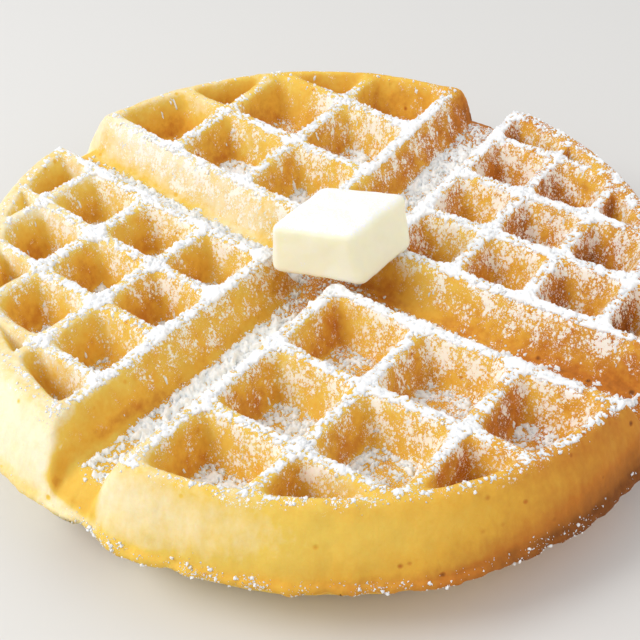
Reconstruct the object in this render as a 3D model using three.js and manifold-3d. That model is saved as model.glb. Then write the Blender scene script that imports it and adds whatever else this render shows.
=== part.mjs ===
// A round Belgian waffle, as its iron leaves it: two cross grooves part it into four
// quarters, each with deep square pockets, and a pat of butter rests over the crossing.
// Millimetres, +Z up. The grooves run along X and Y, and the underside lies on z = 0.

import * as THREE from 'three';
import { mergeVertices } from 'three/addons/utils/BufferGeometryUtils.js';
import Module from 'manifold-3d';

const wasm = await Module();
wasm.setup();

// Waffle body
const LIP_RADIUS = 90.2;
const LIP_WAVE = 0.3;
const LIP_WAVES = 8;
const PARTING_HEIGHT = 14.5;
const CENTRE_HEIGHT = 25.7;
const DISH = 0.000716;
const TOP_RIM_RADIUS = 80.1;
const BODY_SEGMENTS = 64;
const DISH_SEGMENTS = 24;
const DISH_RINGS = [0.001, 27, 54];
const TOP_RIM_HEIGHT = CENTRE_HEIGHT + DISH * TOP_RIM_RADIUS ** 2;

// Outer side, from the top rim down to the lip: radius and drop below the top rim
const SIDE = [
  { radius: 81.4, drop: 0.6 },
  { radius: 82.5, drop: 2.1 },
  { radius: 84.9, drop: 6.0 },
  { radius: 87.1, drop: 10.2 },
  { radius: 88.4, drop: 13.6 },
];
const LIP_HALF_THICKNESS = 0.7;

// Below the lip the side is a little lower than above it, and drawn further in
const UNDERSIDE_SHARE = 0.95;
const UNDERSIDE_DRAFT = 1.5;

// Ribs: the first one lies this far from each groove's axis
const FIRST_RIB = 10.3;
const WALL_ROUNDING = 1.4;
const ROUNDING_SHARE = 0.22;
const SHARP = 0.2;
const OVERSHOOT = 1;

// Wall section of a pocket and of a groove: distance in from the rib's centre line, and depth
const POCKET_SECTION = [
  { inset: 0.05, depth: -OVERSHOOT },
  { inset: 2.0, depth: 1.2 },
  { inset: 4.8, depth: 9.0 },
  { inset: 6.1, depth: 10.4 },
];
const GROOVE_SECTION = [
  { inset: 0.05, depth: -OVERSHOOT },
  { inset: 2.1, depth: 1.2 },
  { inset: 5.6, depth: 8.8 },
  { inset: 6.9, depth: 10.0 },
];
const LARGEST_INSET_SHARE = 0.94;
const FULL_DEPTH_REACH = 5;
const DEPTH_EXPONENT = 1.2;

// Quarters: two with large pockets and two with small ones
const LARGE = { pitch: 23.5, count: 3, rimLine: 80.3 };
const SMALL = { pitch: 18.55, count: 4, rimLine: 78.2 };
const QUARTERS = [
  { x: 1, y: -1, grid: LARGE, outerCorner: 5.5, footFlare: 0 },
  { x: -1, y: 1, grid: LARGE, outerCorner: 1.2, footFlare: 3.0 },
  { x: -1, y: -1, grid: SMALL, outerCorner: 3.0, footFlare: 0 },
  { x: 1, y: 1, grid: SMALL, outerCorner: 4.5, footFlare: 0 },
];
const FLARE_LENGTH = 4.5;
const SMALLEST_POCKET = 1.2;
const CORNER_SPREAD = 0.15;
const MERGE_TOLERANCE = 0.05;
const WELD_DISTANCE = 0.00001;

// Groove ends: the web rolls down to the lip, and the quarters' outer corners are rounded
const WEB_END = [
  { along: 80.5, drop: 0 },
  { along: 84.0, drop: 1.9 },
  { along: 86.4, drop: 3.9 },
  { along: 88.2, drop: 6.2 },
  { along: 92.0, drop: 14.0 },
];
const CROSSING_STATIONS = [0, 9.6, 11, 13.5, 70, 77.5];

// Butter: corners of its foot and of its top, each with its rounding
const BUTTER_FOOT = 26.3;
const BUTTER_TOP = 40.1;
const BUTTER_EDGE = 1.3;
const BUTTER_CORNER_STEPS = 4;
const BUTTER_CORNERS = [
  { foot: [-6.4, -17.0], top: [-5.2, -14.7], round: [5.0, 2.4] },
  { foot: [16.2, -6.6], top: [11.5, -7.0], round: [2.2, 2.0] },
  { foot: [17.4, 13.2], top: [13.0, 15.0], round: [2.6, 2.4] },
  { foot: [-12.2, 10.6], top: [-4.2, 5.7], round: [4.0, 2.4] },
];

const CRUST_FINISH = { color: 0xe3a94e, roughness: 0.75, metalness: 0 };
const BUTTER_FINISH = { color: 0xf6f0cf, roughness: 0.4, metalness: 0 };

// Fineness of the search for each pocket's middle and walls
const DIRECTIONS = 24;
const BISECTIONS = 40;
const MIDDLE_STEP = 0.01;
const MIDDLE_SHRINK = 1.5;
const LONG_SIDE_ANGLE = 2;
const CROSSING_LIMIT = 0.8;

function topHeight(x, y) {
  return CENTRE_HEIGHT + DISH * (x * x + y * y);
}

// A blend of several distances to walls, close to the least of them and rounded where
// two are alike, so that the pockets get rounded corners
function roundedLeast(distances, rounding) {
  const sum = distances.reduce((total, d) => total + Math.exp(-d / rounding), 0);
  return -rounding * Math.log(sum);
}

function solidFromGeometry(geometry) {
  geometry.deleteAttribute('normal');
  geometry.deleteAttribute('uv');
  const merged = mergeVertices(geometry, WELD_DISTANCE);
  const vertProperties = new Float32Array(merged.attributes.position.array);
  const triVerts = new Uint32Array(merged.index.array);
  return new wasm.Manifold(new wasm.Mesh({ numProp: 3, vertProperties, triVerts }));
}

// A closed body through rings of equally many points, from the first ring to the last,
// each end shut by a fan about its middle.
function loft(rings) {
  const size = rings[0].length;
  const points = rings.flat();
  const faces = [];
  for (let ring = 0; ring + 1 < rings.length; ring += 1) {
    for (let i = 0; i < size; i += 1) {
      const a = ring * size + i;
      const b = ring * size + (i + 1) % size;
      faces.push(a, b, a + size, b, b + size, a + size);
    }
  }
  for (const end of [0, rings.length - 1]) {
    const middle = new THREE.Vector3();
    rings[end].forEach((point) => middle.addScaledVector(point, 1 / size));
    const hub = points.push(middle) - 1;
    for (let i = 0; i < size; i += 1) {
      const a = end * size + i;
      const b = end * size + (i + 1) % size;
      faces.push(...(end === 0 ? [hub, b, a] : [hub, a, b]));
    }
  }
  let volume = 0;
  for (let i = 0; i < faces.length; i += 3) {
    const [a, b, c] = [points[faces[i]], points[faces[i + 1]], points[faces[i + 2]]];
    volume += a.dot(new THREE.Vector3().crossVectors(b, c)) / 6;
  }
  if (volume < 0) {
    faces.reverse();
  }
  const geometry = new THREE.BufferGeometry().setFromPoints(points);
  geometry.setIndex(faces);
  return geometry;
}

// Outer side from the rim of the top or of the underside to the lip
function sideRows(top) {
  return [{ radius: TOP_RIM_RADIUS, drop: 0 }, ...SIDE].map(({ radius, drop }) => {
    const draft = UNDERSIDE_DRAFT * (1 - drop / SIDE.at(-1).drop);
    return top
      ? { radius, z: TOP_RIM_HEIGHT - drop }
      : { radius: radius - draft, z: drop * UNDERSIDE_SHARE };
  });
}

// The body before anything is pressed into it
function bodySolid() {
  const section = [
    ...sideRows(false),
    { radius: LIP_RADIUS, z: PARTING_HEIGHT - LIP_HALF_THICKNESS, wave: LIP_WAVE },
    { radius: LIP_RADIUS, z: PARTING_HEIGHT + LIP_HALF_THICKNESS, wave: LIP_WAVE },
    ...sideRows(true).reverse(),
  ];
  const rings = section.map(({ radius, z, wave = 0 }) => {
    const ring = [];
    for (let i = 0; i < BODY_SEGMENTS; i += 1) {
      const angle = (i / BODY_SEGMENTS) * 2 * Math.PI;
      const reach = radius - wave * (1 - Math.cos(LIP_WAVES * angle));
      ring.push(new THREE.Vector3(reach * Math.cos(angle), reach * Math.sin(angle), z));
    }
    return ring;
  });
  const dishRings = [...DISH_RINGS, TOP_RIM_RADIUS].map((radius) => {
    const ring = [];
    for (let i = 0; i < DISH_SEGMENTS; i += 1) {
      const angle = (i / DISH_SEGMENTS) * 2 * Math.PI;
      const x = radius * Math.cos(angle);
      const y = radius * Math.sin(angle);
      ring.push(new THREE.Vector3(x, y, topHeight(x, y)));
    }
    return ring;
  });
  const lid = dishRings.at(-1).map((point) => point.clone().setZ(TOP_RIM_HEIGHT + OVERSHOOT));
  const dish = solidFromGeometry(loft([...dishRings, lid]));
  return solidFromGeometry(loft(rings)).subtract(dish);
}

// Corners of a pocket's cell, with the cell cut off where it crosses the rim line
function cellCorners(cell) {
  const square = [[cell.u0, cell.v0], [cell.u1, cell.v0], [cell.u1, cell.v1], [cell.u0, cell.v1]];
  const corners = square.filter(([u, v]) => Math.hypot(u, v) < cell.rimLine);
  for (const u of [cell.u0, cell.u1]) {
    const v = Math.sqrt(Math.max(0, cell.rimLine ** 2 - u * u));
    if (v > cell.v0 && v < cell.v1) {
      corners.push([u, v]);
    }
  }
  for (const v of [cell.v0, cell.v1]) {
    const u = Math.sqrt(Math.max(0, cell.rimLine ** 2 - v * v));
    if (u > cell.u0 && u < cell.u1) {
      corners.push([u, v]);
    }
  }
  return corners;
}

function wallDistance(cell, u, v, rounding) {
  const toSides = [u - cell.u0, cell.u1 - u, v - cell.v0, cell.v1 - v];
  return roundedLeast([...toSides, cell.rimLine - Math.hypot(u, v)], rounding);
}

// How far from the middle, in one direction, the walls come as near as the inset
function reachTo(cell, middle, angle, inset, rounding) {
  let near = 0;
  let far = 2 * (cell.u1 - cell.u0);
  for (let step = 0; step < BISECTIONS; step += 1) {
    const reach = (near + far) / 2;
    const u = middle[0] + reach * Math.cos(angle);
    const v = middle[1] + reach * Math.sin(angle);
    if (wallDistance(cell, u, v, rounding) > inset) {
      near = reach;
    } else {
      far = reach;
    }
  }
  return near;
}

// The middle of a pocket is where its walls are farthest away
function cellMiddle(cell, corners) {
  let best = corners.reduce((sum, [u, v]) => [sum[0] + u, sum[1] + v], [0, 0]);
  best = best.map((value) => value / corners.length);
  for (let step = (cell.u1 - cell.u0) / 4; step > MIDDLE_STEP; step /= MIDDLE_SHRINK) {
    for (let i = 0; i < DIRECTIONS; i += 1) {
      const angle = (i / DIRECTIONS) * 2 * Math.PI;
      const next = [best[0] + step * Math.cos(angle), best[1] + step * Math.sin(angle)];
      if (wallDistance(cell, ...next, SHARP) > wallDistance(cell, ...best, SHARP)) {
        best = next;
      }
    }
  }
  return best;
}

// Directions round each corner, and one to the middle of a long side along the rim
function cellAngles(corners, middle, fine) {
  const angles = corners
    .map(([u, v]) => Math.atan2(v - middle[1], u - middle[0]))
    .sort((a, b) => a - b);
  const list = [];
  angles.forEach((angle, i) => {
    const next = angles[(i + 1) % angles.length] + (i + 1 === angles.length ? 2 * Math.PI : 0);
    const spread = Math.min(CORNER_SPREAD, (next - angle) / 4);
    const round = fine ? [-spread, 0, spread] : [-spread, spread];
    list.push(...round.map((turn) => angle + turn));
    if (next - angle > LONG_SIDE_ANGLE) {
      list.push((angle + next) / 2);
    }
  });
  return list;
}

// Outlines of a pocket from its mouth to its floor, or null where no pocket fits
function pocketRings(quarter, cell, top) {
  const corners = cellCorners(cell);
  if (corners.length < 3) {
    return null;
  }
  const middle = cellMiddle(cell, corners);
  const rounding = Math.min(WALL_ROUNDING, ROUNDING_SHARE * wallDistance(cell, ...middle, SHARP));
  const widest = wallDistance(cell, ...middle, rounding);
  if (widest < SMALLEST_POCKET) {
    return null;
  }
  const squeeze = Math.min(1, (widest * LARGEST_INSET_SHARE) / POCKET_SECTION.at(-1).inset);
  const depthShare = Math.min(1, (widest / FULL_DEPTH_REACH) ** DEPTH_EXPONENT);
  const angles = cellAngles(corners, middle, top && rounding === WALL_ROUNDING);
  return POCKET_SECTION.map((level) => angles.map((angle) => {
    const inset = level.depth > 0 ? level.inset * squeeze : level.inset;
    const depth = level.depth > 0 ? level.depth * depthShare : level.depth;
    const reach = reachTo(cell, middle, angle, inset, rounding);
    const x = quarter.x * (middle[0] + reach * Math.cos(angle));
    const y = quarter.y * (middle[1] + reach * Math.sin(angle));
    return new THREE.Vector3(x, y, top ? topHeight(x, y) - depth : depth);
  }));
}

function pocketSolids(top) {
  const solids = [];
  for (const quarter of QUARTERS) {
    const { pitch, count } = quarter.grid;
    const rimLine = quarter.grid.rimLine - (top ? 0 : UNDERSIDE_DRAFT);
    const line = (i) => FIRST_RIB + i * pitch;
    for (let i = 0; i < count; i += 1) {
      for (let j = 0; j < count; j += 1) {
        const cell = { u0: line(i), u1: line(i + 1), v0: line(j), v1: line(j + 1), rimLine };
        const rings = pocketRings(quarter, cell, top);
        if (rings) {
          solids.push(solidFromGeometry(loft(rings)));
        }
      }
    }
  }
  return solids;
}

// Radius of the outer side at a height above or below the lip
function sideRadius(z, top) {
  const rows = sideRows(top);
  const next = rows.findIndex((row) => (top ? row.z < z : row.z > z));
  if (next < 1) {
    return next === 0 ? rows[0].radius : rows.at(-1).radius;
  }
  const [outer, inner] = [rows[next], rows[next - 1]];
  const share = (z - inner.z) / (outer.z - inner.z);
  return inner.radius + share * (outer.radius - inner.radius);
}

// How far a groove widens beyond its own walls near the crossing and at its ends, where
// some walls also flare out at their foot
function cornerEase(along, inset, depthShare, sideReach, quarter) {
  const crossing = Math.exp((FIRST_RIB - along - inset) / WALL_ROUNDING);
  const inner = -WALL_ROUNDING * Math.log(1 - Math.min(crossing, CROSSING_LIMIT));
  const shareOf = (length) => THREE.MathUtils.clamp((along - sideReach) / length + 1, 0, 1);
  const round = 1 - Math.sqrt(1 - shareOf(quarter.outerCorner) ** 2);
  const flare = quarter.footFlare * depthShare ** 2 * shareOf(FLARE_LENGTH);
  return inner + quarter.outerCorner * round + flare;
}

function webDrop(along) {
  const row = WEB_END.findIndex((entry) => entry.along > along);
  if (row === 0) {
    return 0;
  }
  const [a, b] = row < 0 ? WEB_END.slice(-2) : [WEB_END[row - 1], WEB_END[row]];
  return a.drop + ((along - a.along) / (b.along - a.along)) * (b.drop - a.drop);
}

// A groove right across the waffle, pressed from the top or from below. It runs along X,
// or along Y once the waffle is taken a quarter turn back.
function grooveSolid(top, alongY) {
  const half = [...CROSSING_STATIONS, ...WEB_END.map((entry) => entry.along)];
  const stations = [...half.slice(1).map((along) => -along).reverse(), ...half];
  const deepest = GROOVE_SECTION.at(-1).depth;
  const rings = stations.map((x) => {
    const along = Math.abs(x);
    const side = (hand) => GROOVE_SECTION.map(({ inset, depth }) => {
      const sink = depth < 0 ? depth : depth + webDrop(along) * (depth / deepest);
      const z = top ? topHeight(x, 0) - sink : sink;
      const [px, py] = alongY ? [-hand, Math.sign(x)] : [Math.sign(x), hand];
      const quarter = QUARTERS.find((entry) => entry.x === px && entry.y === py) ?? QUARTERS[0];
      const share = Math.max(depth, 0) / deepest;
      const ease = cornerEase(along, inset, share, sideRadius(z, top), quarter);
      const y = FIRST_RIB - inset + ease;
      return new THREE.Vector3(x, hand * y, z);
    });
    return [...side(1), ...side(-1).reverse()];
  });
  const solid = solidFromGeometry(loft(rings));
  return alongY ? solid.rotate([0, 0, 90]) : solid;
}

function waffleSolid() {
  const pressed = [];
  for (const top of [true, false]) {
    pressed.push(grooveSolid(top, false), grooveSolid(top, true), ...pocketSolids(top));
  }
  return bodySolid().subtract(wasm.Manifold.union(pressed)).simplify(MERGE_TOLERANCE);
}

// A rounded outline through four corners, each eased by its own radius
function roundedOutline(corners, radii, inset) {
  const share = 1 / corners.length;
  const middle = corners.reduce((sum, c) => [sum[0] + c[0] * share, sum[1] + c[1] * share], [0, 0]);
  const outline = [];
  corners.forEach((corner, i) => {
    const toward = [corners.at(i - 1), corners[(i + 1) % corners.length]].map(([x, y]) => {
      const length = Math.hypot(x - corner[0], y - corner[1]);
      return [(x - corner[0]) / length, (y - corner[1]) / length];
    });
    const opening = Math.acos(toward[0][0] * toward[1][0] + toward[0][1] * toward[1][1]);
    const cut = radii[i] / Math.tan(opening / 2);
    const [start, end] = toward.map(([x, y]) => [corner[0] + cut * x, corner[1] + cut * y]);
    for (let step = 0; step <= BUTTER_CORNER_STEPS; step += 1) {
      const t = step / BUTTER_CORNER_STEPS;
      const point = [0, 1].map((axis) => (
        (1 - t) ** 2 * start[axis] + 2 * t * (1 - t) * corner[axis] + t * t * end[axis]
      ));
      const reach = Math.hypot(point[0] - middle[0], point[1] - middle[1]);
      const scale = (reach - inset) / reach;
      outline.push([0, 1].map((axis) => middle[axis] + (point[axis] - middle[axis]) * scale));
    }
  });
  return outline;
}

function butterSolid() {
  const height = BUTTER_TOP - BUTTER_FOOT;
  const turn = 1 - Math.SQRT1_2;
  const levels = [
    { up: 0, inset: BUTTER_EDGE },
    { up: BUTTER_EDGE * turn, inset: BUTTER_EDGE * turn },
    { up: BUTTER_EDGE, inset: 0 },
    { up: height - BUTTER_EDGE, inset: 0 },
    { up: height - BUTTER_EDGE * turn, inset: BUTTER_EDGE * turn },
    { up: height, inset: BUTTER_EDGE },
  ];
  const rings = levels.map(({ up, inset }) => {
    const t = up / height;
    const mix = (a, b) => a + (b - a) * t;
    const corners = BUTTER_CORNERS.map(({ foot, top }) => [mix(foot[0], top[0]), mix(foot[1], top[1])]);
    const radii = BUTTER_CORNERS.map(({ round }) => mix(round[0], round[1]));
    return roundedOutline(corners, radii, inset)
      .map(([x, y]) => new THREE.Vector3(x, y, BUTTER_FOOT + up));
  });
  return solidFromGeometry(loft(rings));
}

function meshFromSolid(solid, name, material) {
  const { vertProperties, triVerts } = solid.getMesh();
  const geometry = new THREE.BufferGeometry();
  geometry.setAttribute('position', new THREE.BufferAttribute(vertProperties, 3));
  geometry.setIndex(new THREE.BufferAttribute(triVerts, 1));
  geometry.computeVertexNormals();
  const mesh = new THREE.Mesh(geometry, material);
  mesh.name = name;
  return mesh;
}

const crust = new THREE.MeshStandardMaterial(CRUST_FINISH);
const butter = new THREE.MeshStandardMaterial(BUTTER_FINISH);

const group = new THREE.Group();
group.name = 'belgian_waffle';
group.add(meshFromSolid(waffleSolid(), 'waffle', crust));
group.add(meshFromSolid(butterSolid(), 'butter', butter));

export default group;
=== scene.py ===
"""A round Belgian waffle with icing sugar and a pat of butter.

Each kind of piece has its own operator, and the sizes and colours that shape it are in
the property groups. The shape functions and the masks work in millimetres, and every mesh
is made in metres, in the frame of the packed solids: +X right, +Z up, the grooves along X
and Y, and the waffle standing on z = 0.
"""

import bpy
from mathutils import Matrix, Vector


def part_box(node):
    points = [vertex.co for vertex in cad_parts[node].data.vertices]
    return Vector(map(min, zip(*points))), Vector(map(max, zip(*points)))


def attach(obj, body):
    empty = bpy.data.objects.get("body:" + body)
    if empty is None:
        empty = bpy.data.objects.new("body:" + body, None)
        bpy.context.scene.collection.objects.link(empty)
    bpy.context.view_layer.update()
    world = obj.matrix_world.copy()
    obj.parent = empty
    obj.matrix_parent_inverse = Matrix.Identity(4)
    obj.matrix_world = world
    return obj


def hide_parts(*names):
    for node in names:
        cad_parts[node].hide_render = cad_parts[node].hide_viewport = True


bl_info = {
    "name": "Belgian Waffle",
    "version": (1, 0, 0),
    "blender": (4, 5, 0),
    "location": "3D View > Sidebar > Waffle",
    "description": "Makes a sugared Belgian waffle with butter round its packed solids",
    "category": "Add Mesh",
}

import functools
import math

import bpy
import numpy as np
from mathutils import Matrix, Vector

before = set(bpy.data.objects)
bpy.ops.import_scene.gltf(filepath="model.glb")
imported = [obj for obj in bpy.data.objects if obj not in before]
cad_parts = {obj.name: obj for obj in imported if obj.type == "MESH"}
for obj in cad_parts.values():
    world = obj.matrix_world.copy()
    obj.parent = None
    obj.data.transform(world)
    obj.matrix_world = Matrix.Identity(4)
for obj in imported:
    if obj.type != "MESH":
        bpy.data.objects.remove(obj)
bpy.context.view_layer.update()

MM = 0.001
BODY = "root"

# ---------------------------------------------------------------- sizes, in millimetres

BUTTER_LOW, BUTTER_HIGH = (np.array(corner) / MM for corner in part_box("butter"))

# The lip's height, where the two halves of the iron part, and its radius
PARTING = 14.35
NOMINAL_RADIUS = 90.0

# Radius at which the top stands higher than its middle by the dish
DISH_RADIUS = 80.1

# Outer side above and below the lip: radius, and how far from the lip's height
TOP_SIDE = [(60.0, 50.4), (82.5, 13.8), (84.9, 9.9), (87.1, 5.7), (88.3, 2.4), (88.8, 1.5),
            (89.5, 1.1), (89.8, 0.8), (90.0, 0.0)]
UNDER_SIDE = [(60.0, 40.0), (81.2, 12.4), (84.0, 8.7), (86.7, 4.7), (88.3, 1.8), (88.9, 1.3),
              (89.5, 1.1), (89.8, 0.8), (90.0, 0.0)]

# How much nearer to the middle the underside's pockets end
UNDERSIDE_DRAFT = 1.5

# Rounding of the top's edge, which fades from a share of the radius out to the lip
RIM_ROUNDING = 1.0
LEAST_ROUNDING = 0.04
ROUNDED_UP_TO = 0.965

# The lip's uneven reach: direction in degrees and radius, evenly blended between
LIP_REACH = [(-180, 89.6), (-160, 89.2), (-140, 90.0), (-120, 89.8), (-100, 90.1), (-92, 89.5),
             (-89.5, 88.4), (-86, 88.3), (-83.5, 89.8), (-81, 90.2), (-75, 89.5), (-66, 89.2),
             (-58, 89.8), (-54, 89.4), (-47, 89.7), (-39, 90.4), (-31, 89.5), (-22, 89.9),
             (-13, 89.3), (-4, 89.5), (-1, 88.3), (2, 88.2), (5, 89.5), (20, 90.0), (45, 89.6),
             (66, 90.1), (84, 89.4), (88, 88.2), (93, 88.0), (97, 89.3), (115, 89.9),
             (140, 89.4), (162, 90.0), (176, 89.4), (180, 89.6)]
LIP_INSET = 0.15

# The higher, the closer to the lip its unevenness stays
LIP_TAPER = 8

# Finer waviness of the lip: bump size and share of its raggedness, and where it is sampled
LIP_WAVES = [(4.5, 1.0), (1.8, 0.6)]
LIP_WAVE_RADIUS = 60

# Pocket and groove walls: depth gained per millimetre in from a rib's middle, and start
POCKET_WALL = (2.85, 1.6)
GROOVE_WALL = (2.25, 1.55)
RIB_SOFTNESS = 0.85
FLOOR_SOFTNESS = 0.7

# Rounding of a pocket's upright corners: at most, as a share of its reach from wall to
# middle, and while that reach is measured in so many steps
WALL_ROUNDING = 0.9
ROUNDING_SHARE = 0.16
SHARP = 0.2
WIDEST_STEPS = 60

# Pockets that the rim cuts off: the reach below which they get narrower walls, the reach
# below which they get shallower and how fast, and the least reach that is pressed at all
FULL_WIDTH = 6.5
FULL_DEPTH_REACH = 5.0
DEPTH_EXPONENT = 1.2
SMALLEST_POCKET = 1.2
CELL_UNEVENNESS = 0.06

# Quarters: direction from the middle, pockets, rounding where the rim meets a groove, how
# much steeper the groove's walls get at its ends, and how one-sided the sugar lies
QUARTERS = [
    {"x": 1, "y": -1, "large": True, "corner": 2.4, "steeper": 0.0, "one_sided": 0.34},
    {"x": -1, "y": 1, "large": True, "corner": 0.5, "steeper": 1.6, "one_sided": 0.45},
    {"x": -1, "y": -1, "large": False, "corner": 2.0, "steeper": 0.0, "one_sided": 0.40},
    {"x": 1, "y": 1, "large": False, "corner": 1.8, "steeper": 0.0, "one_sided": 0.15},
]
CORNER_NEAR, CORNER_FAR = 9.0, 16.0
STEEPER_FROM, STEEPER_TO = 80.5, 85.5

# The web under each groove rolls down to the lip at the groove's end
WEB_ALONG = [80.5, 84.0, 86.4, 88.2, 90.0]
WEB_DROP = [0.0, 1.7, 3.5, 4.9, 6.2]

# Crags on the crust and more on the lip: bump size and height of each layer of noise
CRAG_LAYERS = [(9.0, 0.20), (3.2, 0.13), (1.3, 0.065)]
LIP_LAYERS = [(4.0, 0.42), (1.7, 0.34)]

# Size and reach of the ribs' wander, and the lowest that a crag may hang
PLAN_WANDER = (28.0, 0.45)
LOWEST = 0.05

# Added to the crust's seed for each kind of unevenness
WANDER_SEED, LIP_WAVE_SEED, CRAG_SEED, LIP_CRAG_SEED = 40, 50, 60, 70

# Seeds of the masks' and the drifts' noise
AMOUNT_SEED, BAKE_SEED, CRUMB_SEED, DRIFT_SEED = 301, 311, 331, 341

# Direction from the least baked side, which faces the key light, to the most baked one; the colour
# change along it is partly bake and partly painted light
ACROSS = (0.82, 0.57)

# Distances from a groove's middle line to the rib beside it and to the middle of its wall
RIB_BY_GROOVE = 10.3
GROOVE_WALL_MIDDLE = 6.5

# How well level faces hold sugar, and how far a face may lean over and still hold some
LEVEL_CATCH = 0.70
OVERHANG = -0.2

# Strips of the grooves' floors that the sugar missed: the signed axes across and along
# each strip, and where across the groove it starts
BARE_STRIPS = [("-x", "-y", 1.9), ("y", "-x", 1.5), ("y", "x", 0.5)]

# Lumps in the sugar's drifts: size, and share in deciding where sugar lies
DRIFT_LUMPS = [(3.2, 0.50), (1.5, 0.90), (0.62, 1.05)]
DRIFT_JITTER = 0.10

# Loose sugar: piece, setting with its number, radii, segments and rings, and patchiness
GRAIN_KINDS = [
    ("sugar_clumps", "clumps", (0.22, 0.60), (8, 5), 0.8),
    ("sugar_grains", "grains", (0.14, 0.30), (5, 3), 0.7),
    ("sugar_specks", "specks", (0.08, 0.18), (4, 2), 0.5),
]

# Share of grains lost where the patches of sugar are thin
PATCH_LOSS = 0.5

# Corners of the butter's foot and top, in order round it, and squares along its sides
BUTTER_FOOT = [(-5.0, -15.2), (16.1, -6.9), (17.2, 13.0), (-11.6, 10.2)]
BUTTER_TOP = [(-5.3, -15.0), (11.8, -7.3), (13.1, 15.1), (-4.4, 5.9)]
BUTTER_STEPS = (44, 44, 34)

# Rounding of the butter's edges, as shares of its half sizes, for an edge of so much
BUTTER_ROUNDING_SHARES = (0.21, 0.21, 0.26)
BUTTER_ROUNDED_EDGE = 2.1

# Bumps on the butter: size and share of its unevenness, with room for them under its height
BUTTER_LAYERS = [(7.0, 0.9), (2.6, 0.35)]
BUTTER_HEADROOM = 0.35

# Studio: the floor's half size in millimetres. The rest is in metres: where the lights aim,
# and for each light its name, place, size, the setting with its power, and its colour
FLOOR_REACH = 4000.0
LIGHT_TARGET = (0, 0, 0.02)
LIGHTS = [
    ("key_light", (-0.44, -0.44, 0.60), 0.40, "key_power", (1.0, 0.995, 0.985)),
    ("fill_light", (0.55, 0.25, 0.50), 0.60, "fill_power", (0.99, 0.995, 1.0)),
]
SKY_COLOUR = (0.985, 0.99, 1.0)
SENSOR_WIDTH = 36
CLIP_START = 0.01

# Fineness of the crust's grid, and the most triangles in each piece, aimed at with a margin
QUICK_GRID, FULL_GRID = 320, 560
CRUST_TRIANGLES, DRIFT_TRIANGLES, GRAIN_TRIANGLES = 196000, 190000, 199000
THINNING_MARGIN = 0.995

# Noise: slopes in the table, what picks one for each corner of the lattice, and how far the
# lattice is shifted and its noise stretched
NOISE_TABLE = 4096
NOISE_PRIMES = (73856093, 19349663, 83492791)
NOISE_SHIFT = 101.37
NOISE_GAIN = 1.6

# Keywords that every colour property has
COLOUR = {"subtype": "COLOR", "size": 3, "min": 0, "max": 1}


# ------------------------------------------------------------------------ properties


class WaffleSizes(bpy.types.PropertyGroup):
    """Sizes of the waffle's body and of its pattern"""

    centre_height: bpy.props.FloatProperty(
        name="Centre height", default=0.0257, unit="LENGTH",
        description="Height of the ribs at the middle of the waffle")
    dish: bpy.props.FloatProperty(
        name="Dish", default=0.0046, unit="LENGTH",
        description="How far the middle of the top lies below its rim")
    first_rib: bpy.props.FloatProperty(
        name="First rib", default=0.0103, unit="LENGTH",
        description="From a groove's middle line to the first rib's")
    large_pitch: bpy.props.FloatProperty(
        name="Large pockets", default=0.0235, unit="LENGTH",
        description="From rib to rib in the quarters with large pockets")
    small_pitch: bpy.props.FloatProperty(
        name="Small pockets", default=0.01855, unit="LENGTH",
        description="From rib to rib in the quarters with small pockets")
    large_rim: bpy.props.FloatProperty(
        name="Rim of large pockets", default=0.0803, unit="LENGTH",
        description="Radius at which the large pockets end")
    small_rim: bpy.props.FloatProperty(
        name="Rim of small pockets", default=0.0782, unit="LENGTH",
        description="Radius at which the small pockets end")
    pocket_depth: bpy.props.FloatProperty(
        name="Pocket depth", default=0.0108, unit="LENGTH",
        description="Depth of a pocket below the ribs round it")
    groove_depth: bpy.props.FloatProperty(
        name="Groove depth", default=0.0101, unit="LENGTH",
        description="Depth of the crossing grooves")
    lip_raggedness: bpy.props.FloatProperty(
        name="Lip raggedness", default=0.0004, unit="LENGTH",
        description="How far the lip's outline wanders in and out")
    seed: bpy.props.IntProperty(
        name="Seed", default=7, min=0, description="Seed of the crust's unevenness")


class CrustLooks(bpy.types.PropertyGroup):
    """Colours of the crust from least to most baked"""

    cream: bpy.props.FloatVectorProperty(
        name="Cream", **COLOUR, default=(0.91, 0.82, 0.58),
        description="Palest crust")
    yellow: bpy.props.FloatVectorProperty(
        name="Yellow", **COLOUR, default=(0.82, 0.56, 0.10),
        description="Lightly baked crust")
    golden: bpy.props.FloatVectorProperty(
        name="Golden", **COLOUR, default=(0.77, 0.415, 0.05),
        description="Golden crust")
    brown: bpy.props.FloatVectorProperty(
        name="Brown", **COLOUR, default=(0.54, 0.185, 0.022),
        description="Well baked crust")
    dark: bpy.props.FloatVectorProperty(
        name="Dark", **COLOUR, default=(0.21, 0.065, 0.011),
        description="Darkest spots")


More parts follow.
